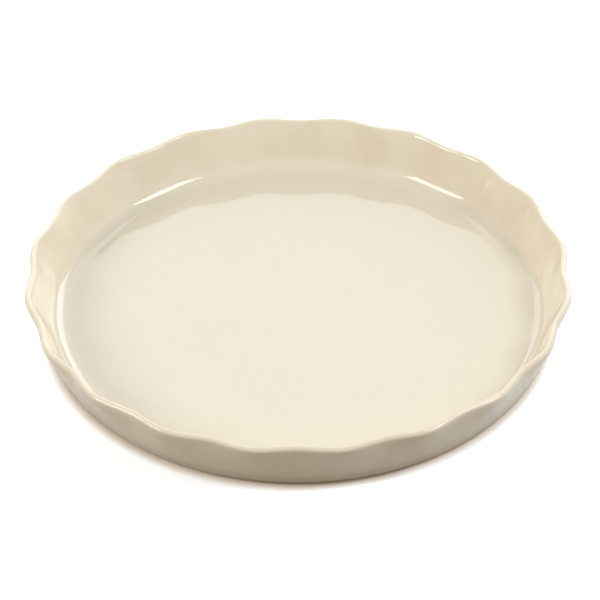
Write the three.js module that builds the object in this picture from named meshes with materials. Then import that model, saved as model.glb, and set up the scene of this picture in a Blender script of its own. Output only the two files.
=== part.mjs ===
// Fluted pie dish: a pressed stoneware body under a fused cream glaze.
// Millimetres, +Z up. The origin is on the table, under the centre of the dish.
import * as THREE from "three";

// Overall sizes, over the glaze.
const OVERALL_DIAMETER = 280; // across two opposite flute crests at the rim
const OVERALL_HEIGHT = 31; // table to the top of the rim

// Clay sizes, under the glaze.
const BASE_DIAMETER = 260; // outside of the heel, where the wall turns under
const RIM_THICKNESS = 3.2; // the rim is a half round of this thickness
const WALL_TAPER = THREE.MathUtils.degToRad(3.5); // the inside leans out by this much more than the outside
const FLOOR_THICKNESS = 4.2;
const HEEL_RADIUS = 4; // outside, between the wall and the underside
const CORNER_RADIUS = 11; // inside, between the wall and the floor
const FOOT_DIAMETER = 244; // outer edge of the flat band that the dish stands on
const FOOT_WIDTH = 8; // of that band, which is wiped bare before firing
const FOOT_HEIGHT = 1.2; // underside panel above the table

// Fluting: full depth at the rim, fading to nothing at the level of the floor.
const FLUTE_COUNT = 20;
const FLUTE_DEPTH = 2.8; // crest to hollow at the rim
const FLUTE_FADE = 1.5; // power of the fade, 1 being a straight one
const FLUTE_CREST_ANGLE = Math.PI / FLUTE_COUNT; // first crest, from +X, so a hollow faces each axis

// Glaze.
const GLAZE_THICKNESS = 0.5;
const BARE_HEIGHT = 0.8; // the glaze stops this far above the table on both sides of the foot

// Facets.
const FACETS_PER_FLUTE = 6;
const HEEL_STEPS = 2;
const RIM_STEPS = 5;
const CORNER_STEPS = 4;

const RIGHT_ANGLE = Math.PI / 2;
const FOOT_SLOPE = Math.PI / 4; // of the foot's two sides

// Centre lines of the section, in the plane of radius and height.
const rimRadius = RIM_THICKNESS / 2;
const rimCentre = new THREE.Vector2(
  OVERALL_DIAMETER / 2 - FLUTE_DEPTH / 2 - GLAZE_THICKNESS - rimRadius,
  OVERALL_HEIGHT - GLAZE_THICKNESS - rimRadius,
);
const heelCentre = new THREE.Vector2(BASE_DIAMETER / 2 - HEEL_RADIUS, FOOT_HEIGHT + HEEL_RADIUS);
const floorHeight = FOOT_HEIGHT + FLOOR_THICKNESS;

// The wall leans so that its outside touches both the heel's round and the rim's round.
const rise = rimCentre.clone().sub(heelCentre);
const wallLean = Math.atan2(rise.x, rise.y) - Math.asin((HEEL_RADIUS - rimRadius) / rise.length());

// The corner's round touches the inside of the wall and the floor.
const insideLean = wallLean + WALL_TAPER;
const insideOut = new THREE.Vector2(Math.cos(insideLean), -Math.sin(insideLean));
const insideReach = rimCentre.dot(insideOut) - rimRadius;
const cornerHeight = floorHeight + CORNER_RADIUS;
const cornerCentre = new THREE.Vector2(
  (insideReach - CORNER_RADIUS + cornerHeight * Math.sin(insideLean)) / Math.cos(insideLean),
  cornerHeight,
);

// A point of the clay's section with the way that a coat on it grows.
function spot(radius, height, out) {
  return { at: new THREE.Vector2(radius, height), out };
}

// A round stretch of section. The coat grows away from the centre, or towards it on a hollow round.
function round(centre, radius, from, to, steps, hollow = false) {
  return Array.from({ length: steps + 1 }, (_, i) => {
    const angle = THREE.MathUtils.lerp(from, to, i / steps);
    const ray = new THREE.Vector2(Math.cos(angle), Math.sin(angle));
    const at = centre.clone().addScaledVector(ray, radius);
    return { at, out: hollow ? ray.negate() : ray };
  });
}

// The way that a coat grows at a corner between two straight stretches.
function mitre(a, b) {
  return a.clone().add(b).divideScalar(1 + a.dot(b));
}

// The spot halfway along a straight stretch.
function midway(a, b) {
  return { at: a.at.clone().lerp(b.at, 0.5), out: a.out };
}

// The clay's section, in three runs that follow its skin from under the dish to the middle of its floor.
const footOuter = FOOT_DIAMETER / 2;
const footInner = footOuter - FOOT_WIDTH;
const footRun = FOOT_HEIGHT / Math.tan(FOOT_SLOPE); // width of each sloping side of the foot
const bareRun = BARE_HEIGHT / Math.tan(FOOT_SLOPE);
const down = new THREE.Vector2(0, -1);
const up = new THREE.Vector2(0, 1);
const footOut = new THREE.Vector2(Math.sin(FOOT_SLOPE), -Math.cos(FOOT_SLOPE));
const footIn = new THREE.Vector2(-footOut.x, footOut.y);

const underside = [
  spot(0, FOOT_HEIGHT, down),
  spot(footInner - footRun, FOOT_HEIGHT, mitre(down, footIn)),
  spot(footInner - bareRun, BARE_HEIGHT, footIn),
];

const bareFoot = [spot(footInner, 0, footIn), spot(footOuter, 0, footOut)];

const heel = round(heelCentre, HEEL_RADIUS, -RIGHT_ANGLE, -wallLean, HEEL_STEPS);
const rim = round(rimCentre, rimRadius, -wallLean, Math.PI - insideLean, RIM_STEPS);
const corner = round(cornerCentre, CORNER_RADIUS, -insideLean, -RIGHT_ANGLE, CORNER_STEPS, true);
const bowl = [
  spot(footOuter + bareRun, BARE_HEIGHT, footOut),
  spot(footOuter + footRun, FOOT_HEIGHT, mitre(footOut, down)),
  ...heel,
  midway(heel.at(-1), rim[0]),
  ...rim,
  midway(rim.at(-1), corner[0]),
  ...corner,
  spot(0, floorHeight, up),
];

// The skin of the clay, or of a coat on it.
function skin(run, coat = 0) {
  return run.map(({ at, out }) => at.clone().addScaledVector(out, coat));
}

// How far the fluting moves the section at a height and an angle from +X.
const fluteFoot = floorHeight + GLAZE_THICKNESS;
function fluteShift(height, angle) {
  const climb = THREE.MathUtils.clamp((height - fluteFoot) / (rimCentre.y - fluteFoot), 0, 1);
  const wave = Math.cos(FLUTE_COUNT * (angle - FLUTE_CREST_ANGLE));
  return (FLUTE_DEPTH / 2) * climb ** FLUTE_FADE * wave;
}

// Splits each four-sided facet along its shorter diagonal, so that two skins on the same spots match.
function splitFacets(geometry, spots, turns) {
  const position = geometry.getAttribute("position");
  const place = (i) => new THREE.Vector3().fromBufferAttribute(position, i);
  const facets = [];
  for (let turn = 0; turn < turns; turn++) {
    for (let i = 0; i < spots - 1; i++) {
      const a = turn * spots + i;
      const b = a + spots;
      const c = b + 1;
      const d = a + 1;
      const shorter = place(a).distanceTo(place(c)) < place(b).distanceTo(place(d));
      facets.push(...(shorter ? [a, b, c, a, c, d] : [a, b, d, b, c, d]));
    }
  }
  geometry.setIndex(facets);
}

// Turns a section about the dish's axis and presses the flutes into it.
function turned(section) {
  const turns = FLUTE_COUNT * FACETS_PER_FLUTE;
  const geometry = new THREE.LatheGeometry(section, turns);
  geometry.rotateX(RIGHT_ANGLE);
  const position = geometry.getAttribute("position");
  const place = new THREE.Vector3();
  for (let i = 0; i < position.count; i++) {
    place.fromBufferAttribute(position, i);
    const radius = Math.hypot(place.x, place.y);
    const angle = Math.atan2(place.y, place.x);
    const shifted = radius + fluteShift(place.z, angle);
    position.setXYZ(i, shifted * Math.cos(angle), shifted * Math.sin(angle), place.z);
  }
  splitFacets(geometry, section.length, turns);
  geometry.computeVertexNormals();
  return geometry;
}

function piece(name, section, material) {
  const mesh = new THREE.Mesh(turned(section), material);
  mesh.name = name;
  return mesh;
}

const biscuit = new THREE.MeshStandardMaterial({ color: 0xd8c3a0, roughness: 0.85, metalness: 0 });
const glaze = new THREE.MeshStandardMaterial({ color: 0xefe6cf, roughness: 0.08, metalness: 0 });

const dish = new THREE.Group();
dish.add(
  // The fired clay: floor, fluted wall, rim and foot in one pressing.
  piece("stoneware_body", skin([...underside, ...bareFoot, ...bowl]), biscuit),
  // The glaze that runs from the foot up the outside, over the rim and across the inside.
  piece("glaze_coat", [...skin(bowl).reverse(), ...skin(bowl, GLAZE_THICKNESS)], glaze),
  // The glaze on the panel inside the foot, which the bare foot parts from the rest.
  piece("underside_glaze", [...skin(underside, GLAZE_THICKNESS), ...skin(underside).reverse()], glaze),
);

export default dish;
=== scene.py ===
"""A fluted pie dish of cream-glazed stoneware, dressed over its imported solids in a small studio."""
import math

import bpy
from mathutils import Matrix, Vector


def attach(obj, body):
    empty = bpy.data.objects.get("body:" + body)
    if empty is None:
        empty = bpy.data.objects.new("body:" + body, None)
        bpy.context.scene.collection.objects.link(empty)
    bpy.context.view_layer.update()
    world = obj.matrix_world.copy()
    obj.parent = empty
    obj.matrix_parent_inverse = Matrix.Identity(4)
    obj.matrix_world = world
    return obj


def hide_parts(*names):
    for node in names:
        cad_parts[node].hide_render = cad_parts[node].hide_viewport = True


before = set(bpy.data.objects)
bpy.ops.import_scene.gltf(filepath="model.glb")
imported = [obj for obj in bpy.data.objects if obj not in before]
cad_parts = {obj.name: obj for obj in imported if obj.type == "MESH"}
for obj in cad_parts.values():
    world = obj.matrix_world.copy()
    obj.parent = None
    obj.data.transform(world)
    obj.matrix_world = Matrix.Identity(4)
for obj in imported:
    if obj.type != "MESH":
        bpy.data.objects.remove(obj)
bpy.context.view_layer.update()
bpy.ops.object.select_all(action="DESELECT")

# Stoneware body: buff clay pressed over a mould, with floor, fluted wall, half-round rim and foot in one.
# It shows only on the foot, which is wiped bare of glaze so that it won't stick in the kiln.
mm = 0.001
overall_width = 280 * mm
overall_height = 31 * mm
base_width = 260 * mm
rim_thickness = 3.2 * mm
wall_taper = math.radians(3.5)
floor_thickness = 4.2 * mm
heel_round = 4 * mm
corner_round = 11 * mm
foot_outside = 122 * mm
foot_inside = 114 * mm
foot_height = 1.2 * mm
foot_slope = math.radians(45)
bare_height = 0.8 * mm
glaze_thickness = 0.5 * mm
flutes = 20
flute_depth = 2.8 * mm
flute_fade = 1.5
columns_to_a_flute = 4
columns = flutes * columns_to_a_flute
same_spot = 0.01 * mm

# The wall's outside touches the rounds of the heel and the rim, and the corner's round touches its inside.
rim_round = rim_thickness / 2
rim_reach = overall_width / 2 - flute_depth / 2 - glaze_thickness - rim_round
rim_centre = Vector((rim_reach, overall_height - glaze_thickness - rim_round))
heel_centre = Vector((base_width / 2 - heel_round, foot_height + heel_round))
floor_level = foot_height + floor_thickness
glazed_floor = floor_level + glaze_thickness
rise = rim_centre - heel_centre
lean = math.atan2(rise.x, rise.y) - math.asin((heel_round - rim_round) / rise.length)
inside_lean = lean + wall_taper
inside_reach = rim_centre.x * math.cos(inside_lean) - rim_centre.y * math.sin(inside_lean) - rim_round
corner_level = floor_level + corner_round
corner_reach = inside_reach - corner_round + corner_level * math.sin(inside_lean)
corner_centre = Vector((corner_reach / math.cos(inside_lean), corner_level))


def round_cage(centre, radius, start, end, steps):
    """Corners of a cage whose sides touch an arc, so that smoothing it gives the arc back."""
    step = (end - start) / steps
    reach = radius / math.cos(step / 2)
    angles = [start + step * (i + 0.5) for i in range(steps)]
    return [centre + reach * Vector((math.cos(angle), math.sin(angle))) for angle in angles]


def between(start, end, count):
    """Points at even steps along a straight stretch, without its ends."""
    return [start.lerp(end, (i + 1) / (count + 1)) for i in range(count)]


def foot_side(edge, way, coat):
    """Both ends of the foot's sloping side, outer (way 1) or inner (way -1), from the glaze's stop up."""
    bare_run = bare_height / math.tan(foot_slope) + coat * math.sin(foot_slope)
    full_run = foot_height / math.tan(foot_slope) + coat * math.tan(foot_slope / 2)
    glaze_stop = Vector((edge + way * bare_run, bare_height - coat * math.cos(foot_slope)))
    foot_corner = Vector((edge + way * full_run, foot_height - coat))
    return glaze_stop, foot_corner


def bowl_section(coat):
    """Radius and height along the skin: up the outside from the foot, over the rim and in to the axis."""
    floor_shares = (0.97, 0.88, 0.5, 0)
    heel = round_cage(heel_centre, heel_round + coat, -math.pi / 2, -lean, steps=3)
    rim = round_cage(rim_centre, rim_round + coat, -lean, math.pi - inside_lean, steps=5)
    corner = round_cage(corner_centre, corner_round - coat, -inside_lean, -math.pi / 2, steps=4)
    outside = between(heel[-1], rim[0], count=3)
    inside = between(rim[-1], corner[0], count=2)
    floor = [Vector((share * corner_centre.x, floor_level + coat)) for share in floor_shares]
    return [*foot_side(foot_outside, 1, coat), *heel, *outside, *rim, *inside, *corner, *floor]


def underside_section(coat):
    """Radius and height along the panel under the floor, from the axis out to the inside of the foot."""
    panel_shares = (0, 0.5, 0.9, 0.97)
    panel = [Vector((share * foot_inside, foot_height - coat)) for share in panel_shares]
    return [*panel, *reversed(foot_side(foot_inside, -1, coat))]


def turn(name, section):
    """Draws a section as a chain of edges and spins it about the dish's axis into a closed cage."""
    bpy.ops.mesh.primitive_plane_add(size=rim_thickness)
    turned = bpy.context.object
    turned.name = name
    bpy.ops.object.mode_set(mode="EDIT")
    bpy.ops.mesh.merge(type="CENTER")
    pen = Vector((section[0].x, 0, section[0].y))
    bpy.ops.transform.translate(value=pen)
    for point in section[1:]:
        stroke = Vector((point.x, 0, point.y)) - pen
        bpy.ops.mesh.extrude_region_move(TRANSFORM_OT_translate={"value": stroke})
        pen += stroke
    bpy.ops.mesh.select_all(action="SELECT")
    bpy.ops.mesh.spin(steps=columns, angle=2 * math.pi, center=(0, 0, 0), axis=(0, 0, 1))
    bpy.ops.mesh.select_all(action="SELECT")
    bpy.ops.mesh.remove_doubles(threshold=same_spot)
    bpy.ops.mesh.normals_make_consistent(inside=False)
    bpy.ops.object.mode_set(mode="OBJECT")
    return turned


def press_flutes(turned, section):
    """Pushes each ring of the wall out at the crests and in at the hollows, by most at the rim."""
    crest_column = columns_to_a_flute // 2
    hollow_column = 0
    share_left_by_smoothing = 2 / 3
    places = [vertex.co for vertex in turned.data.vertices]
    spots = [(math.hypot(x, y), z) for x, y, z in places]
    column_angle = 2 * math.pi / columns
    column_of = [round(math.atan2(place.y, place.x) / column_angle) for place in places]
    wall = [ring for ring in section if ring.y > glazed_floor + same_spot]
    for ring in wall:
        climb = min((ring.y - glazed_floor) / (rim_centre.y - glazed_floor), 1)
        push = flute_depth / 2 * climb**flute_fade / share_left_by_smoothing
        ringed = [math.dist(spot, ring) < same_spot for spot in spots]
        for column, way in ((crest_column, 1), (hollow_column, -1)):
            bpy.ops.object.mode_set(mode="EDIT")
            bpy.ops.mesh.select_all(action="DESELECT")
            bpy.ops.object.mode_set(mode="OBJECT")
            picked = [on and at % columns_to_a_flute == column for on, at in zip(ringed, column_of)]
            turned.data.vertices.foreach_set("select", picked)
            bpy.ops.object.mode_set(mode="EDIT")
            stretch = 1 + way * push / ring.x
            bpy.ops.transform.resize(value=(stretch, stretch, 1), center_override=(0, 0, 0))
            bpy.ops.object.mode_set(mode="OBJECT")


def smooth(turned):
    """Rounds the cage into the finished skin."""
    rounding = turned.modifiers.new("rounding", "SUBSURF")
    rounding.levels = 2
    rounding.render_levels = 2
    bpy.ops.object.modifier_apply(modifier="rounding")
    bpy.ops.object.shade_smooth()
    turned.select_set(False)


class Socket:
    """An output of a node. Sums on it are written as in Python and become Math nodes."""

    def __init__(self, tree, output=None):
        self.tree = tree
        self.output = output

    def node(self, kind, settings, values, result=0):
        """Adds a node, makes its settings, then fills or links its sockets, and gives one of its outputs."""
        added = self.tree.nodes.new(kind)
        for name, setting in settings.items():
            setattr(added, name, setting)
        for name, value in values.items():
            taken = added.inputs[name]
            if isinstance(value, Socket):
                self.tree.links.new(value.output, taken)
            else:
                taken.default_value = value
        return Socket(self.tree, added.outputs[result] if added.outputs else None)

    def maths(self, operation, first, second):
        """One step of a sum."""
        return self.node("ShaderNodeMath", {"operation": operation}, {0: first, 1: second})

    def __add__(self, other):
        return self.maths("ADD", self, other)

    def __radd__(self, other):
        return self.maths("ADD", other, self)

    def __sub__(self, other):
        return self.maths("SUBTRACT", self, other)

    def __rsub__(self, other):
        return self.maths("SUBTRACT", other, self)

    def __mul__(self, other):
        return self.maths("MULTIPLY", self, other)

    def __rmul__(self, other):
        return self.maths("MULTIPLY", other, self)

    def noise(self, size, detail, rough):
        """Soft random spots of about a size in metres, from 0 to 1."""
        values = {"Vector": self, "Scale": 1 / size, "Detail": detail, "Roughness": rough}
        return self.node("ShaderNodeTexNoise", {}, values)

    def ramp(self, low, high):
        """0 below low, 1 above high and a soft step between."""
        values = {"Value": self, "From Min": low, "From Max": high}
        return self.node("ShaderNodeMapRange", {"interpolation_type": "SMOOTHSTEP"}, values)

    def tint(self, first, second):
        """From the first colour to the second as this value goes from 0 to 1."""
        share, colour_a, colour_b, mixed_colour = 0, 6, 7, 2
        values = {share: self, colour_a: first, colour_b: second}
        return self.node("ShaderNodeMix", {"data_type": "RGBA"}, values, mixed_colour)

    def blend(self, first, second):
        """From the first shader to the second as this value goes from 0 to 1."""
        return self.node("ShaderNodeMixShader", {}, {0: self, 1: first, 2: second})


def blank_nodes(owner):
    """Empties the nodes of a new material or world, so that they can be laid out from the start."""
    owner.use_nodes = True
    owner.node_tree.nodes.clear()
    return Socket(owner.node_tree)


deep_buff = (0.60, 0.46, 0.29, 1)
pale_buff = (0.68, 0.54, 0.36, 1)
dark_grain = (0.34, 0.24, 0.14, 1)
biscuit = bpy.data.materials.new("buff_biscuit")
clay_nodes = blank_nodes(biscuit)
place = clay_nodes.node("ShaderNodeTexCoord", {}, {}, "Object")
grit = place.noise(0.5 * mm, detail=3, rough=0.6)
blush = place.noise(18 * mm, detail=2, rough=0.5)
grog = place.noise(0.9 * mm, detail=1, rough=0.4).ramp(0.66, 0.72)
buff = blush.tint(deep_buff, pale_buff)
clay_bump = {"Height": grit - 0.5 * grog, "Strength": 0.5, "Distance": 0.06 * mm}
clay_finish = {
    "Base Color": (0.45 * grog + 0.18 * grit).tint(buff, dark_grain),
    "Roughness": 0.76 + 0.16 * grit,
    "Normal": clay_nodes.node("ShaderNodeBump", {}, clay_bump),
}
clay_surface = clay_nodes.node("ShaderNodeBsdfPrincipled", {}, clay_finish)
clay_nodes.node("ShaderNodeOutputMaterial", {}, {"Surface": clay_surface})

foot_shares = (0, 0.1, 0.5, 0.9, 1)
foot_band = [Vector((foot_inside + share * (foot_outside - foot_inside), 0)) for share in foot_shares]
clay_section = [*underside_section(0), *foot_band, *bowl_section(0)]
pressed_clay = turn("pressed_clay", clay_section)
press_flutes(pressed_clay, clay_section)
smooth(pressed_clay)
pressed_clay.data.materials.append(biscuit)
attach(pressed_clay, "root")
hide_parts("stoneware_body")

# Glaze coat: cream glaze that the dish is dipped in, half a millimetre thick and fused to the clay.
# It runs from above the foot over the rim and across the inside. Its cream holds painted light: it is cooler
# and darker on the floor, for the cool, strong light there, and lighter and warmer on the wall, for the
# wall's dimmer, warmer light. The wall's cream also varies in random blotches.
# Painted light: the floor tones stand for the floor's cool, strong light, and the wall tones lighten the
# dimmer wall.
floor_deep_painted_cool = (0.725, 0.668, 0.537, 1)
floor_pale_painted_cool = (0.745, 0.688, 0.557, 1)
wall_deep_painted_light = (0.80, 0.70, 0.535, 1)
wall_pale_painted_light = (0.87, 0.78, 0.625, 1)
fleck = (0.83, 0.75, 0.60, 1)
painted_light_climb = 4 * mm
cream_glaze = bpy.data.materials.new("cream_glaze")
glaze_nodes = blank_nodes(cream_glaze)
place = glaze_nodes.node("ShaderNodeTexCoord", {}, {}, "Object")
height = glaze_nodes.node("ShaderNodeSeparateXYZ", {}, {0: place}, "Z")
cloud = place.noise(70 * mm, detail=2, rough=0.5)
mottle = place.noise(2.2 * mm, detail=3, rough=0.55)
blotch = place.noise(22 * mm, detail=2, rough=0.5).ramp(0.25, 0.75)
ripple = place.noise(14 * mm, detail=1, rough=0.4)
peel = place.noise(1.6 * mm, detail=2, rough=0.5)
# Painted light: the floor tones give way to the lighter, warmer wall tones as the glaze climbs from the
# floor.
painted_wall_light = height.ramp(glazed_floor, glazed_floor + painted_light_climb)
cream = painted_wall_light.tint(cloud.tint(floor_deep_painted_cool, floor_pale_painted_cool), blotch.tint(wall_deep_painted_light, wall_pale_painted_light))
glaze_bump = {"Height": ripple + 0.06 * peel, "Strength": 0.6, "Distance": 0.1 * mm}
glaze_finish = {
    "Base Color": (0.3 * mottle).tint(cream, fleck),
    "Roughness": 0.045 + 0.03 * mottle,
    "Normal": glaze_nodes.node("ShaderNodeBump", {}, glaze_bump),
    "IOR": 1.52,
}
glaze_surface = glaze_nodes.node("ShaderNodeBsdfPrincipled", {}, glaze_finish)
glaze_nodes.node("ShaderNodeOutputMaterial", {}, {"Surface": glaze_surface})

glaze_section = [*reversed(bowl_section(0)), *bowl_section(glaze_thickness)]
bowl_glaze = turn("bowl_glaze", glaze_section)
press_flutes(bowl_glaze, glaze_section)
smooth(bowl_glaze)
bowl_glaze.data.materials.append(cream_glaze)
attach(bowl_glaze, "root")
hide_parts("glaze_coat")

# Underside glaze: the same cream glaze on the panel inside the foot.
# The wiped foot ring parts it from the rest of the coat.
panel_section = [*underside_section(glaze_thickness), *reversed(underside_section(0))]
panel_glaze = turn("panel_glaze", panel_section)
smooth(panel_glaze)
panel_glaze.data.materials.append(cream_glaze)
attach(panel_glaze, "root")
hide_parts("underside_glaze")

# Table: a plain pale sheet that keeps the dish's shadow, with a painted warm contact shade close to the
# foot.
# The camera gets three shares of its light, so that it reads as white, and the glaze mirrors two.
# The light that it throws up at the dish is that of a dimmer, warmer sheet.
table_width = 2.6
table_drop = 0.02 * mm
contact_reach = 6 * mm
contact_shade = (0.36, 0.315, 0.27, 1)
open_shade = (0.52, 0.54, 0.58, 1)
bounce_shade = (0.34, 0.29, 0.215, 1)
bpy.ops.mesh.primitive_plane_add(size=table_width, location=(0, 0, -table_drop))
table = bpy.context.object
table.name = "table"
sweep = bpy.data.materials.new("pale_sweep")
table_nodes = blank_nodes(sweep)
seen = table_nodes.node("ShaderNodeLightPath", {}, {}, "Is Camera Ray")
mirrored = table_nodes.node("ShaderNodeLightPath", {}, {}, "Is Glossy Ray")
nearby = {"Distance": contact_reach}
# Painted contact shade: an ambient occlusion mask darkens the table close to the foot, on top of its real
# shadow.
openness = table_nodes.node("ShaderNodeAmbientOcclusion", {"samples": 16}, nearby, "AO").ramp(0.3, 0.95)
contact = table_nodes.node("ShaderNodeBsdfDiffuse", {}, {"Color": contact_shade})
in_the_open = table_nodes.node("ShaderNodeBsdfDiffuse", {}, {"Color": open_shade})
bounce = table_nodes.node("ShaderNodeBsdfDiffuse", {}, {"Color": bounce_shade})
one_share = openness.blend(contact, in_the_open)
two_shares = table_nodes.node("ShaderNodeAddShader", {}, {0: one_share, 1: one_share})
three_shares = table_nodes.node("ShaderNodeAddShader", {}, {0: two_shares, 1: one_share})
sheet = seen.blend(mirrored.blend(bounce, two_shares), three_shares)
table_nodes.node("ShaderNodeOutputMaterial", {}, {"Surface": sheet})
table.data.materials.append(sweep)
table.select_set(False)

# Room: plain walls all round, which are white to the camera and in the glaze.
# As a light on the dish they are dim and a little warm.
warm_wall = {"Color": (1, 0.93, 0.80, 1), "Strength": 0.33}
white_wall = {"Color": (1, 1, 1, 1), "Strength": 1}
studio = bpy.data.worlds.new("studio")
bpy.context.scene.world = studio
room_nodes = blank_nodes(studio)
seen = room_nodes.node("ShaderNodeLightPath", {}, {}, "Is Camera Ray")
mirrored = room_nodes.node("ShaderNodeLightPath", {}, {}, "Is Glossy Ray")
dim = room_nodes.node("ShaderNodeBackground", {}, warm_wall)
white = room_nodes.node("ShaderNodeBackground", {}, white_wall)
room_nodes.node("ShaderNodeOutputWorld", {}, {"Surface": (seen + mirrored).blend(dim, white)})


# Lamps: a bright soft box on each side, whose reflections are the streaks in the corner, a dim fill by each
# that the glaze does not mirror, and three panels behind, which the floor and the ends of the corner mirror.
def soft_box(name, at, spread, brightness, tint, mirrored=True):
    """A rectangular lamp that faces the dish. It is at a number of degrees round from +X and up from the
    table, and spreads over a width and a height in degrees, all as seen from the dish."""
    distance = 2
    way_round, height = [math.radians(angle) for angle in at]
    level = Vector((math.cos(way_round), math.sin(way_round), 0))
    outwards = math.cos(height) * level + Vector((0, 0, math.sin(height)))
    lamp = bpy.data.lights.new(name, "AREA")
    lamp.shape = "RECTANGLE"
    lamp.size, lamp.size_y = [2 * distance * math.tan(math.radians(angle) / 2) for angle in spread]
    lamp.color = tint
    lamp.energy = math.pi * lamp.size * lamp.size_y * brightness
    holder = bpy.data.objects.new(name, lamp)
    bpy.context.collection.objects.link(holder)
    holder.visible_glossy = mirrored
    holder.location = distance * outwards
    holder.rotation_euler = (-outwards).to_track_quat("-Z", "Y").to_euler()


white_light = (1, 1, 1)
cool_light = (0.95, 1, 1.06)
soft_box("left", at=(200, 34), spread=(22, 20), brightness=8.5, tint=white_light)
soft_box("right", at=(-11, 50), spread=(22, 18), brightness=9.5, tint=cool_light)
soft_box("left_fill", at=(172, 24), spread=(50, 36), brightness=0.75, tint=white_light, mirrored=False)
soft_box("right_fill", at=(-10, 24), spread=(50, 36), brightness=1.1, tint=cool_light, mirrored=False)
soft_box("behind_right", at=(64, 21), spread=(34, 20), brightness=3.2, tint=cool_light)
soft_box("behind_left", at=(116, 21), spread=(26, 20), brightness=1.8, tint=white_light)
soft_box("behind", at=(90, 39), spread=(50, 18), brightness=1.2, tint=white_light)

# Camera: a long lens a good way off in front, which looks down on the dish.
# It stands straight out from the middle of the rim and aims a little below it.
height_of_view = math.radians(37.70)
turn_of_view = math.radians(0.68)
roll = math.radians(-0.59)
camera_distance = 1.386
rim_middle = Vector((0, 0, 29.5 * mm))
aim_below = 13.87 * mm
aim_aside = 0.73 * mm
sideways = Vector((math.cos(turn_of_view), math.sin(turn_of_view), 0))
forwards = Vector((-sideways.y, sideways.x, 0))
backwards = Vector((0, 0, math.sin(height_of_view))) - math.cos(height_of_view) * forwards
upwards = Vector((0, 0, math.cos(height_of_view))) + math.sin(height_of_view) * forwards
station = rim_middle + camera_distance * backwards
target = rim_middle - aim_below * upwards + aim_aside * sideways
long_lens = bpy.data.cameras.new("long_lens")
long_lens.sensor_width = 36
long_lens.lens = 162.94
long_lens.clip_end = 50
camera = bpy.data.objects.new("camera", long_lens)
bpy.context.collection.objects.link(camera)
aim = (target - station).to_track_quat("-Z", "Y").to_matrix().to_4x4()
camera.matrix_world = Matrix.Translation(station) @ aim @ Matrix.Rotation(roll, 4, "Z")
bpy.context.scene.camera = camera

bpy.context.scene.view_settings.view_transform = "Standard"
